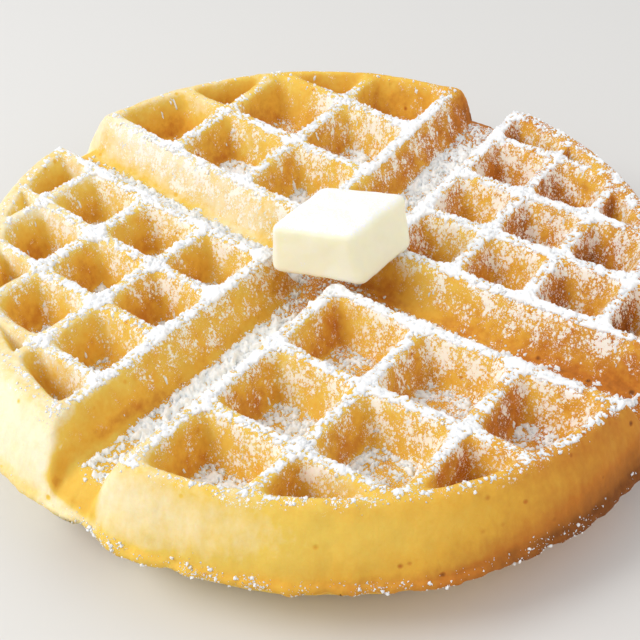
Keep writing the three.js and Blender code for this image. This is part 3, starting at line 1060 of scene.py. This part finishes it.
def groove_floor(points):
    """1 along the floors of the two grooves, 0 elsewhere."""
    x, y = points[:, 0], points[:, 1]
    return ramp(from_groove(x, y), 5.6, 4.2) * (1 - bare_strip(x, y))


def rib_crossing(x, y):
    """1 where two ribs cross, 0 elsewhere."""
    sizes = bpy.context.scene.waffle_sizes
    first = sizes.first_rib / MM
    offsets = []
    for along in (np.abs(x), np.abs(y)):
        pitch = np.where(x * y < 0, sizes.large_pitch, sizes.small_pitch) / MM
        steps = (along - first) / pitch
        offsets.append(np.abs(steps - np.maximum(np.round(steps), 0)) * pitch)
    return ramp(np.hypot(*offsets), 4.2, 1.2)


def sugar_amount(points):
    """How much sugar fell where: most at the most baked side, least by the opposite rim."""
    x, y = points[:, 0], points[:, 1]
    amount = 0.80 + 0.0005 * (x + y) + 0.0006 * x
    edge = np.minimum(np.abs(np.abs(x) - RIB_BY_GROOVE), np.abs(np.abs(y) - RIB_BY_GROOVE))
    amount += 0.14 * ramp(edge, 4.0, 1.0)
    amount -= 0.32 * ramp(np.hypot(x, y), 66, 80)
    amount -= 0.26 * ramp(to_back_left(x, y), 50, 70)
    amount += 0.14 * plan_noise(x, y, 22, AMOUNT_SEED)
    return np.clip(amount, 0.05, 1.2)


def rim_bake_and_shade(points):
    """How much more the outer side and the lip are baked than the top: partly bake, partly painted
    light at the key light's side and painted shade low down near the floor.
    """
    x, y, z = points.T
    radius, above, across = np.hypot(x, y), np.abs(z - PARTING), across_share(x, y)
    # Paler on the side facing the key light, browner away from it: partly bake, partly painted
    # light.
    side = -0.075 + 0.26 * across - 0.06 * ramp(across, 0.7, 1.0) + 0.06 * ramp(z, 25.5, 29.5)
    # Darker low on the side, towards the floor: partly bake, partly painted shade.
    low_side_bake_and_shade = (0.12 + 0.11 * np.minimum(across, 0.6)) * ramp(above, 10.5, 2.0)
    lip = (0.15 - 0.08 * ramp(across, 0.4, 0.9)) * ramp(above, 3.4, 1.2)
    return (outer_side(points) * side + low_side_bake_and_shade * ramp(radius, 82.0, 86.5)
            + lip * ramp(radius, 85.5, 87.5))


def top_bake_and_shade(points, normals, shape):
    """How much more walls, floors and ribs of the pattern are baked than the rest, with painted
    light and shade: walls lighter facing the key light and darker facing away, floors darker with
    depth.
    """
    x, y = points[:, 0], points[:, 1]
    across, deep = across_share(x, y), pocket_share(points, shape)
    steep = steepness(normals)
    pale = facing_pale_lit_side(normals)
    # Painted light and shade: walls facing the key light made lighter, walls facing away made
    # darker.
    wall = (0.07 - np.where(pale > 0, 0.26, 0.15) * pale) * steep
    # Floors, and deep in the back left pockets, darker with depth: partly bake, partly painted
    # shade.
    floor = 0.13 * deep + 0.13 * ramp(deep, 0.4, 1.0) * ramp(across, -0.1, -0.6)
    back_left = 0.08 * ramp(to_back_left(x, y), 45, 65) * deep
    rib = 0.12 * ramp(np.hypot(x, y), 50, 78) * ramp(across, 0.1, -0.5) * ramp(deep, 0.5, 0.1)
    return (wall + floor + back_left - rib) * (1 - outer_side(points))


def groove_painted_light(points, normals, shape):
    """How much lighter some of the grooves' walls and ends are made: painted light on two of the
    walls, and a paler front end.
    """
    x, y = points[:, 0], points[:, 1]
    steep = steepness(normals)
    # Painted light: the front groove's left wall, in shade, and the left groove's back wall,
    # towards the key light, are made paler.
    front_wall = ramp(x, -11, -9) * ramp(x, -2, -4) * ramp(-y, 12, 20) * steep
    left_wall = ramp(y, 12, 10) * ramp(y, 0.5, 2.5) * ramp(x, -8, -30)
    front_end = ramp(-y, 66, 82) * ramp(np.abs(x), 8.5, 6.5) * (1 - 0.9 * steep)
    return ((0.11 - 0.10 * ramp(-y, 45, 65)) * front_wall
            + (0.12 + 0.17 * pocket_share(points, shape)) * left_wall + 0.15 * front_end)


def bake_level(points, normals, shape):
    """How far each point is baked, with painted light and shade: pale at one side, partly as
    painted light from the key light's side, brown at the other and at the lip.
    """
    x, y = points[:, 0], points[:, 1]
    across = across_share(x, y)
    # Paler towards the key light's side, browner away from it: partly bake, partly painted light.
    level = 0.375 + 0.18 * across + 0.11 * ramp(across, 0.1, 0.6)
    level += 0.06 * plan_noise(x, y, 30, BAKE_SEED) + rim_bake_and_shade(points)
    level += top_bake_and_shade(points, normals, shape) - groove_painted_light(points, normals, shape)
    return np.clip(level, 0, 1)


def butter_soak_and_shadow(points):
    """Crust soaked by melting butter, in the crossing and a little to +X of it, where it also lays
    the butter's painted shadow.
    """
    x, y, z = points.T
    return 0.7 * ramp(np.hypot(x - 9, y + 2), 20, 9) * ramp(z, 26.5, 22.0)


def catch_level(points, normals, shape):
    """How well sugar stays on each point: well on level faces, in streaks on steep ones."""
    x, y = points[:, 0], points[:, 1]
    across, deep = across_share(x, y), np.clip(pocket_share(points, shape), 0, 1)
    hold = ramp(normals[:, 2], 0.40, 0.90)
    groove_wall = ramp(from_groove(x, y), RIB_BY_GROOVE, RIB_BY_GROOVE - 1)
    one_sided = 1 + by_quarter(x, y, "one_sided") * facing_pale_lit_side(normals)
    steep_share = (0.98 - (0.50 - 0.26 * groove_wall) * deep) * one_sided
    catch = sugar_amount(points) * bpy.context.scene.waffle_sugar.amount
    catch *= steep_share + (LEVEL_CATCH - steep_share) * hold
    catch *= 1 - 0.98 * beyond_rim(x, y)
    far_wall = ramp(np.abs(y - GROOVE_WALL_MIDDLE), 4.2, 2.5)
    catch -= 0.22 * far_wall * ramp(x, 10, 20) * (1 - hold)
    catch -= 0.16 * far_wall * ramp(x, -55, -30) * ramp(x, -8, -14) * (1 - hold)
    catch *= 1 - 0.7 * ramp(np.abs(x + GROOVE_WALL_MIDDLE), 6.5, 4.2) * ramp(y, -48, -66)
    catch -= 0.20 * ramp(-across, 0.05, 0.3) * deep * (1 - hold) * (1 - groove_wall)
    catch = np.minimum(catch, 0.74 + 0.3 * hold) - 0.4 * bare_strip(x, y)
    catch *= (1 - 0.75 * butter_soak_and_shadow(points)) * above_underside(points)
    return np.clip(catch, 0, 1) * (normals[:, 2] > OVERHANG)


def lip_crumbs(x, y):
    """How many crumbs of sugar lie along the lip, in loose groups."""
    across = across_share(x, y)
    crumbs = 0.12 + 0.88 * ramp(plan_noise(x, y, 6, CRUMB_SEED), 0.05, 0.45)
    crumbs = crumbs * ramp(across, -0.75, -0.4)
    return crumbs * ((1 - 0.55 * ramp(across, 0.35, 0.6)) * (y < 0))


def strew_level(points, normals):
    """Where loose grains came to rest: on level faces, and as crumbs along the lip."""
    x, y = points[:, 0], points[:, 1]
    across = across_share(x, y)
    hold = ramp(normals[:, 2], 0.60, 0.96)
    amount = sugar_amount(points) * bpy.context.scene.waffle_sugar.amount
    level = amount * hold * (1 + 1.3 * groove_floor(points)) * (1 - beyond_rim(x, y))
    level *= (1 - bare_strip(x, y)) * (1 - 0.85 * ramp(-across, 0.45, 0.8))
    level *= 1 - 0.5 * ramp(np.hypot(x, y), 62, 74) * ramp(-across, 0.1, 0.4)
    level += 1.5 * lip_share(points) * lip_crumbs(x, y)
    level *= 1 - 0.85 * butter_soak_and_shadow(points)
    level *= above_underside(points)
    return np.clip(level, 0, 2) * (normals[:, 2] > OVERHANG)


# ------------------------------------------------------------------------ pieces


def add_piece(name, mesh, material, replaced=()):
    """Puts a finished piece in the scene, riding on the waffle's one body."""
    mesh.materials.clear()
    mesh.materials.append(material)
    piece = bpy.data.objects.new(name, mesh)
    bpy.context.collection.objects.link(piece)
    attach(piece, BODY)
    if replaced:
        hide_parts(*replaced)


def grid_count():
    """Fineness of the crust's grid."""
    return FULL_GRID


def make_crust():
    """The whole baked body, with every pocket, groove and crag."""
    points, _, triangles = fine_crust(grid_count(), False)
    mesh = thinned(mesh_from("waffle_crust", points, triangles), CRUST_TRIANGLES)
    shape = WaffleShape(bpy.context.scene.waffle_sizes)
    points, normals = read_points(mesh), read_normals(mesh)
    radius = np.hypot(points[:, 0], points[:, 1])
    attributes = {
        "bake": bake_level(points, normals, shape),
        "soak": butter_soak_and_shadow(points),
        "catch": catch_level(points, normals, shape),
        # thick: less dust on steep faces, whose cream tint is partly painted warm light in the
        # shade.
        "thick": 0.84 + 0.12 * ramp(normals[:, 2], 0.40, 0.80),
        "patchy": 1 - 0.75 * ramp(radius, 79, 83),
        "strew": strew_level(points, normals),
        # hollow: carried onto the grains for the sugar's painted cool tint in the hollows.
        "hollow": hollow_level(points, shape),
    }
    for name, values in attributes.items():
        write_attribute(mesh, name, values)
    add_piece("waffle_crust", mesh, crust_material(), ["waffle"])


def drift_height(points, normals, shape):
    """Height of the drifts of sugar over each point, below 0 where there is none."""
    sugar = bpy.context.scene.waffle_sugar
    x, y = points[:, 0], points[:, 1]
    hold = ramp(normals[:, 2], 0.5, 0.95)
    amount = sugar_amount(points) * sugar.amount
    outside = ramp(np.hypot(x, y), 80.2, 81.6)
    channel, crossing = groove_floor(points), rib_crossing(x, y)
    deep = ramp(pocket_share(points, shape), 0.5, 0.9) * (1 - channel)
    cover = sum(share * plan_noise(x, y, size, DRIFT_SEED + i)
                for i, (size, share) in enumerate(DRIFT_LUMPS))
    cover += 1.6 * amount * hold - 1.20 - 1.2 * outside - 2.0 * butter_soak_and_shadow(points)
    cover += 0.34 * crossing + 0.35 * channel - 0.9 * bare_strip(x, y)
    cover -= 0.42 * ramp(y, 12, 20) * channel
    cover += deep * (0.95 * plan_noise(x, y, 7, DRIFT_SEED + 13) - 0.12)
    height = np.where(cover > 0, np.sqrt(np.clip(cover, 0, 1)), np.maximum(cover, -0.3))
    height *= sugar.drift_height / MM * (1 + 0.6 * lattice_noise(points, 0.7, DRIFT_SEED + 10))
    lumps = np.clip(0.5 + 1.0 * plan_noise(x, y, 1.9, DRIFT_SEED + 11), 0, 1.3)
    height *= 0.6 + 0.8 * lumps + 2.4 * channel * lumps + 0.8 * crossing + 1.2 * deep
    jitter = np.random.default_rng(DRIFT_SEED + 12).uniform(-1, 1, len(x))
    return height + np.where(height > 0, DRIFT_JITTER * jitter, 0)


def make_drifts():
    """Sugar lying on ribs, pocket floors and groove floors, as a thin lumpy layer."""
    shape = WaffleShape(bpy.context.scene.waffle_sizes)
    points, normals, triangles = fine_crust(grid_count(), True)
    height = drift_height(points, normals, shape)
    kept = (height[triangles] > 0).any(axis=1)
    used, faces = np.unique(triangles[kept], return_inverse=True)
    lifted = points[used] + normals[used] * height[used, None]
    mesh = mesh_from("sugar_drifts", lifted, faces.reshape(-1, 3))
    mesh = thinned(mesh, DRIFT_TRIANGLES)
    # hollow: where the sugar gets its painted cool tint in the hollows.
    write_attribute(mesh, "hollow", hollow_level(read_points(mesh), shape))
    add_piece("sugar_drifts", mesh, sugar_material())


def scatter_tree(name, material):
    """Geometry nodes that strew lumpy grains over faces by the strew attribute."""
    tree = node_group(name, "GeometryNodeTree",
                      [("Carrier", "Geometry"), ("Density", "Float", 1000.0),
                       ("Smallest", "Float", 0.0002), ("Largest", "Float", 0.0005),
                       ("Segments", "Int", 5), ("Rings", "Int", 3),
                       ("Patchiness", "Float", 0.5), ("Seed", "Int", 0)],
                      [("Grains", "Geometry")])
    sheet = NodeSheet(tree)
    inputs = sheet.group_inputs()
    seed = inputs["Seed"]
    strewn = sheet.add("GeometryNodeInputNamedAttribute", {"Name": "strew"}, data_type="FLOAT")
    patches = sheet.add("ShaderNodeTexNoise", {"Scale": 420.0, "Detail": 2.0})
    patch = sheet.map_range(patches.outputs["Fac"], 0.38, 0.62)
    share = sheet.add("ShaderNodeMix", {0: inputs["Patchiness"], 2: 1.0, 3: patch},
                      data_type="FLOAT")
    density = sheet.math("MULTIPLY", inputs["Density"], share.outputs[0])
    density = sheet.math("MULTIPLY", strewn.outputs[0], density)
    points = sheet.add("GeometryNodeDistributePointsOnFaces",
                       {"Mesh": inputs["Carrier"], "Density": density, "Seed": seed})
    grain = sheet.add("GeometryNodeMeshUVSphere",
                      {"Segments": inputs["Segments"], "Rings": inputs["Rings"]})
    position = sheet.add("GeometryNodeInputPosition").outputs[0]
    lumps = sheet.add("ShaderNodeTexNoise", {"Vector": position, "Scale": 1.3, "Detail": 1.0})
    swell = sheet.map_range(lumps.outputs["Fac"], 0.3, 0.7, -0.45, 0.4)
    offset = sheet.vector_math("SCALE", position, swell)
    lumpy = sheet.add("GeometryNodeSetPosition",
                      {"Geometry": grain.outputs["Mesh"], "Offset": offset})
    low, high = (
        sheet.add("ShaderNodeCombineXYZ", {axis: inputs[end] for axis in "XYZ"}).outputs[0]
        for end in ("Smallest", "Largest"))
    turn, size = (
        sheet.add("FunctionNodeRandomValue", {"Min": least, "Max": most, "Seed": seed},
                  data_type="FLOAT_VECTOR").outputs[0]
        for least, most in (((0, 0, 0), (2 * math.pi,) * 3), (low, high)))
    placed = sheet.add("GeometryNodeInstanceOnPoints",
                       {"Points": points.outputs["Points"], "Instance": lumpy.outputs[0],
                        "Rotation": turn, "Scale": size})
    real = sheet.add("GeometryNodeRealizeInstances", {"Geometry": placed.outputs[0]})
    smooth = sheet.add("GeometryNodeSetShadeSmooth", {"Geometry": real.outputs[0]})
    dressed = sheet.add("GeometryNodeSetMaterial",
                        {"Geometry": smooth.outputs[0], "Material": material})
    sheet.add("NodeGroupOutput", {"Grains": dressed.outputs[0]})
    return tree


def strewn_area(mesh):
    """A mesh's area in square metres, counted by how much is strewn on it."""
    corners = np.empty(len(mesh.loops), np.int32)
    mesh.loops.foreach_get("vertex_index", corners)
    corners = corners.reshape(-1, 3)
    strewn = np.empty(len(mesh.vertices), np.float32)
    mesh.attributes["strew"].data.foreach_get("value", strewn)
    a, b, c = (read_points(mesh)[corners[:, i]] * MM for i in range(3))
    areas = np.linalg.norm(np.cross(b - a, c - a), axis=1) / 2
    return float((areas * strewn[corners].mean(axis=1)).sum())


def strew(name, carrier, settings):
    """Adds a piece of many grains on a carrier's faces."""
    material = sugar_material()
    tree = bpy.data.node_groups.get("Strewn sugar") or scatter_tree("Strewn sugar", material)
    holder = bpy.data.objects.new("strewing", carrier)
    bpy.context.collection.objects.link(holder)
    modifier = holder.modifiers.new("strew", "NODES")
    modifier.node_group = tree
    sockets = {item.name: item.identifier for item in tree.interface.items_tree}
    for socket, value in settings.items():
        modifier[sockets[socket]] = value
    evaluated = holder.evaluated_get(bpy.context.evaluated_depsgraph_get())
    mesh = bpy.data.meshes.new_from_object(evaluated)
    bpy.data.objects.remove(holder)
    triangles = len(mesh.loops) - 2 * len(mesh.polygons)
    if triangles > GRAIN_TRIANGLES:
        raise RuntimeError(f"{name} has {triangles} triangles, over {GRAIN_TRIANGLES}")
    mesh.name = name
    add_piece(name, mesh, material)


def make_grains(name, count, radii, facets, patchiness, seed):
    """Adds about so many sugar grains of one size over the crust."""
    carrier = bpy.data.objects["waffle_crust"].data
    density = count / (strewn_area(carrier) * (1 - PATCH_LOSS * patchiness))
    strew(name, carrier, {
        "Density": density, "Smallest": radii[0] * MM, "Largest": radii[1] * MM,
        "Segments": facets[0], "Rings": facets[1], "Patchiness": patchiness, "Seed": seed})


def cube_shell(steps):
    """Points and triangles of a cube from -1 to 1, with its faces cut into small squares."""
    lines = [np.linspace(-1, 1, count + 1) for count in steps]
    points, triangles, offset = [], [], 0
    for axis in range(3):
        u_axis, v_axis = (axis + 1) % 3, (axis + 2) % 3
        u, v = np.meshgrid(lines[u_axis], lines[v_axis], indexing="ij")
        rows, columns = (size - 1 for size in u.shape)
        i, j = (index.ravel() for index in np.meshgrid(range(rows), range(columns), indexing="ij"))
        a = i * (columns + 1) + j
        b, c, d = a + columns + 1, a + columns + 2, a + 1
        faces = np.concatenate([np.stack([a, b, c], 1), np.stack([a, c, d], 1)])
        for side in (-1, 1):
            sheet = np.empty((u.size, 3))
            sheet[:, axis] = side
            sheet[:, u_axis] = u.ravel()
            sheet[:, v_axis] = v.ravel()
            points.append(sheet)
            triangles.append((faces if side > 0 else faces[:, ::-1]) + offset)
            offset += len(sheet)
    points, triangles = np.concatenate(points), np.concatenate(triangles)
    _, first, same = np.unique(points.round(6), axis=0, return_index=True, return_inverse=True)
    return points[first], same.ravel()[triangles]


def butter_points(butter):
    """Points and triangles of a skewed block with softened edges."""
    unit, triangles = cube_shell(BUTTER_STEPS)
    rounding = np.array(BUTTER_ROUNDING_SHARES) * (butter.edge / MM / BUTTER_ROUNDED_EDGE)
    core = np.clip(unit, -1 + rounding, 1 - rounding)
    off = (unit - core) / rounding
    length = np.linalg.norm(off, axis=1, keepdims=True)
    unit = core + rounding * off / np.maximum(length, 1)
    share = ((unit + 1) / 2).T
    foot, top = np.array(BUTTER_FOOT), np.array(BUTTER_TOP)
    corners = foot[:, None] + (top - foot)[:, None] * share[2][None, :, None]
    low = corners[0] + (corners[1] - corners[0]) * share[0][:, None]
    high = corners[3] + (corners[2] - corners[3]) * share[0][:, None]
    plan = low + (high - low) * share[1][:, None]
    height = BUTTER_LOW[2] + (BUTTER_HIGH[2] - BUTTER_HEADROOM - BUTTER_LOW[2]) * share[2]
    return np.column_stack([plan, height]), triangles


def make_butter():
    """The pat of butter: a slumped, slightly skewed block with soft bumps."""
    butter = bpy.context.scene.waffle_butter
    points, triangles = butter_points(butter)
    smooth = mesh_from("smooth", points, triangles)
    bumps = butter.unevenness / MM * layered_noise(points, BUTTER_LAYERS, butter.seed)
    points = points + read_normals(smooth) * bumps[:, None]
    bpy.data.meshes.remove(smooth)
    mesh = mesh_from("butter_pat", points, triangles)
    normals = read_normals(mesh)
    on_top = ramp(normals[:, 2], 0.5, 0.95)
    on_pale_lit_side = ramp(facing_pale_lit_side(normals), 0, 0.6)
    # catch: sugar and painted highlight on the top and the side towards the key light.
    write_attribute(mesh, "catch", 0.85 * on_top + 0.60 * on_pale_lit_side)
    add_piece("butter_pat", mesh, butter_material(), ["butter"])


# ------------------------------------------------------------------------ studio


def make_floor():
    """A plain pale floor under the waffle."""
    directions = [(-1, -1), (1, -1), (1, 1), (-1, 1)]
    corners = [(FLOOR_REACH * x, FLOOR_REACH * y, 0) for x, y in directions]
    floor = bpy.data.objects.new("floor", mesh_from("floor", corners, [(0, 1, 2), (0, 2, 3)]))
    floor.data.materials.append(floor_material())
    bpy.context.collection.objects.link(floor)


def add_area_light(name, place, size, power, colour):
    """A soft square light aimed at the waffle."""
    lamp = bpy.data.lights.new(name, "AREA")
    lamp.size, lamp.energy, lamp.color = size, power, colour
    holder = bpy.data.objects.new(name, lamp)
    bpy.context.collection.objects.link(holder)
    holder.location = place
    aim = Vector(LIGHT_TARGET) - Vector(place)
    holder.rotation_euler = aim.to_track_quat("-Z", "Y").to_euler()


def make_camera():
    """The camera, by its direction and where the crossing falls in the picture."""
    studio = bpy.context.scene.waffle_studio
    sizes = bpy.context.scene.waffle_sizes
    a, e = studio.azimuth, studio.elevation
    back = Vector((math.sin(a) * math.cos(e), -math.cos(a) * math.cos(e), math.sin(e)))
    right = Vector((math.cos(a), math.sin(a), 0))
    up = back.cross(right)
    turned_right = math.cos(studio.roll) * right + math.sin(studio.roll) * up
    turned_up = math.cos(studio.roll) * up - math.sin(studio.roll) * right
    camera = bpy.data.objects.new("camera", bpy.data.cameras.new("camera"))
    bpy.context.collection.objects.link(camera)
    crossing = Vector((0, 0, sizes.centre_height))
    place = crossing + studio.distance * back - studio.aside[0] * turned_right
    place -= studio.aside[1] * turned_up
    turn = Matrix((turned_right, turned_up, back)).transposed()
    camera.matrix_world = Matrix.Translation(place) @ turn.to_4x4()
    camera.data.lens = studio.lens
    camera.data.sensor_width = SENSOR_WIDTH
    camera.data.clip_start = CLIP_START
    bpy.context.scene.camera = camera


def make_sky():
    """Even light from all round."""
    world = bpy.data.worlds.new("studio")
    world.use_nodes = True
    background = world.node_tree.nodes["Background"]
    background.inputs["Color"].default_value = (*SKY_COLOUR, 1)
    background.inputs["Strength"].default_value = bpy.context.scene.waffle_studio.sky
    bpy.context.scene.world = world


# ------------------------------------------------------------------------ operators


class WAFFLE_OT_crust(bpy.types.Operator):
    """Make the baked crust"""

    bl_idname = "waffle.crust"
    bl_label = "Crust"

    def execute(self, context):
        make_crust()
        return {"FINISHED"}


class WAFFLE_OT_butter(bpy.types.Operator):
    """Make the pat of butter"""

    bl_idname = "waffle.butter"
    bl_label = "Butter"

    def execute(self, context):
        make_butter()
        return {"FINISHED"}


class WAFFLE_OT_drifts(bpy.types.Operator):
    """Lay drifts of icing sugar on ribs and floors"""

    bl_idname = "waffle.drifts"
    bl_label = "Sugar Drifts"

    def execute(self, context):
        make_drifts()
        return {"FINISHED"}


class WAFFLE_OT_grains(bpy.types.Operator):
    """Strew clumps, grains and specks of icing sugar"""

    bl_idname = "waffle.grains"
    bl_label = "Sugar Grains"

    def execute(self, context):
        sugar = context.scene.waffle_sugar
        for i, (name, number, radii, facets, patchiness) in enumerate(GRAIN_KINDS):
            make_grains(name, getattr(sugar, number), radii, facets, patchiness, sugar.seed + i)
        return {"FINISHED"}


class WAFFLE_OT_studio(bpy.types.Operator):
    """Set the floor, camera and lights"""

    bl_idname = "waffle.studio"
    bl_label = "Studio"

    def execute(self, context):
        studio = context.scene.waffle_studio
        make_floor()
        make_camera()
        make_sky()
        for name, place, size, power, colour in LIGHTS:
            add_area_light(name, place, size, getattr(studio, power), colour)
        context.scene.view_settings.view_transform = "Standard"
        return {"FINISHED"}


STEPS = [WAFFLE_OT_crust, WAFFLE_OT_butter, WAFFLE_OT_drifts, WAFFLE_OT_grains, WAFFLE_OT_studio]


class WAFFLE_PT_panel(bpy.types.Panel):
    """Lists the waffle's steps and settings"""

    bl_idname = "WAFFLE_PT_panel"
    bl_label = "Belgian Waffle"
    bl_space_type = "VIEW_3D"
    bl_region_type = "UI"
    bl_category = "Waffle"

    def draw(self, context):
        for step in STEPS:
            self.layout.operator(step.bl_idname)
        for name, kind in SETTINGS.items():
            box = self.layout.box()
            box.label(text=kind.__doc__)
            for field in kind.__annotations__:
                box.prop(getattr(context.scene, name), field)


CLASSES = [*SETTINGS.values(), *STEPS, WAFFLE_PT_panel]


def register():
    for cls in CLASSES:
        bpy.utils.register_class(cls)
    for name, kind in SETTINGS.items():
        setattr(bpy.types.Scene, name, bpy.props.PointerProperty(type=kind))


def unregister():
    for name in SETTINGS:
        delattr(bpy.types.Scene, name)
    for cls in reversed(CLASSES):
        bpy.utils.unregister_class(cls)


def main():
    """Makes every piece in order."""
    register()
    for step in STEPS:
        group, name = step.bl_idname.split(".")
        getattr(getattr(bpy.ops, group), name)()


if __name__ == "__main__":
    main()
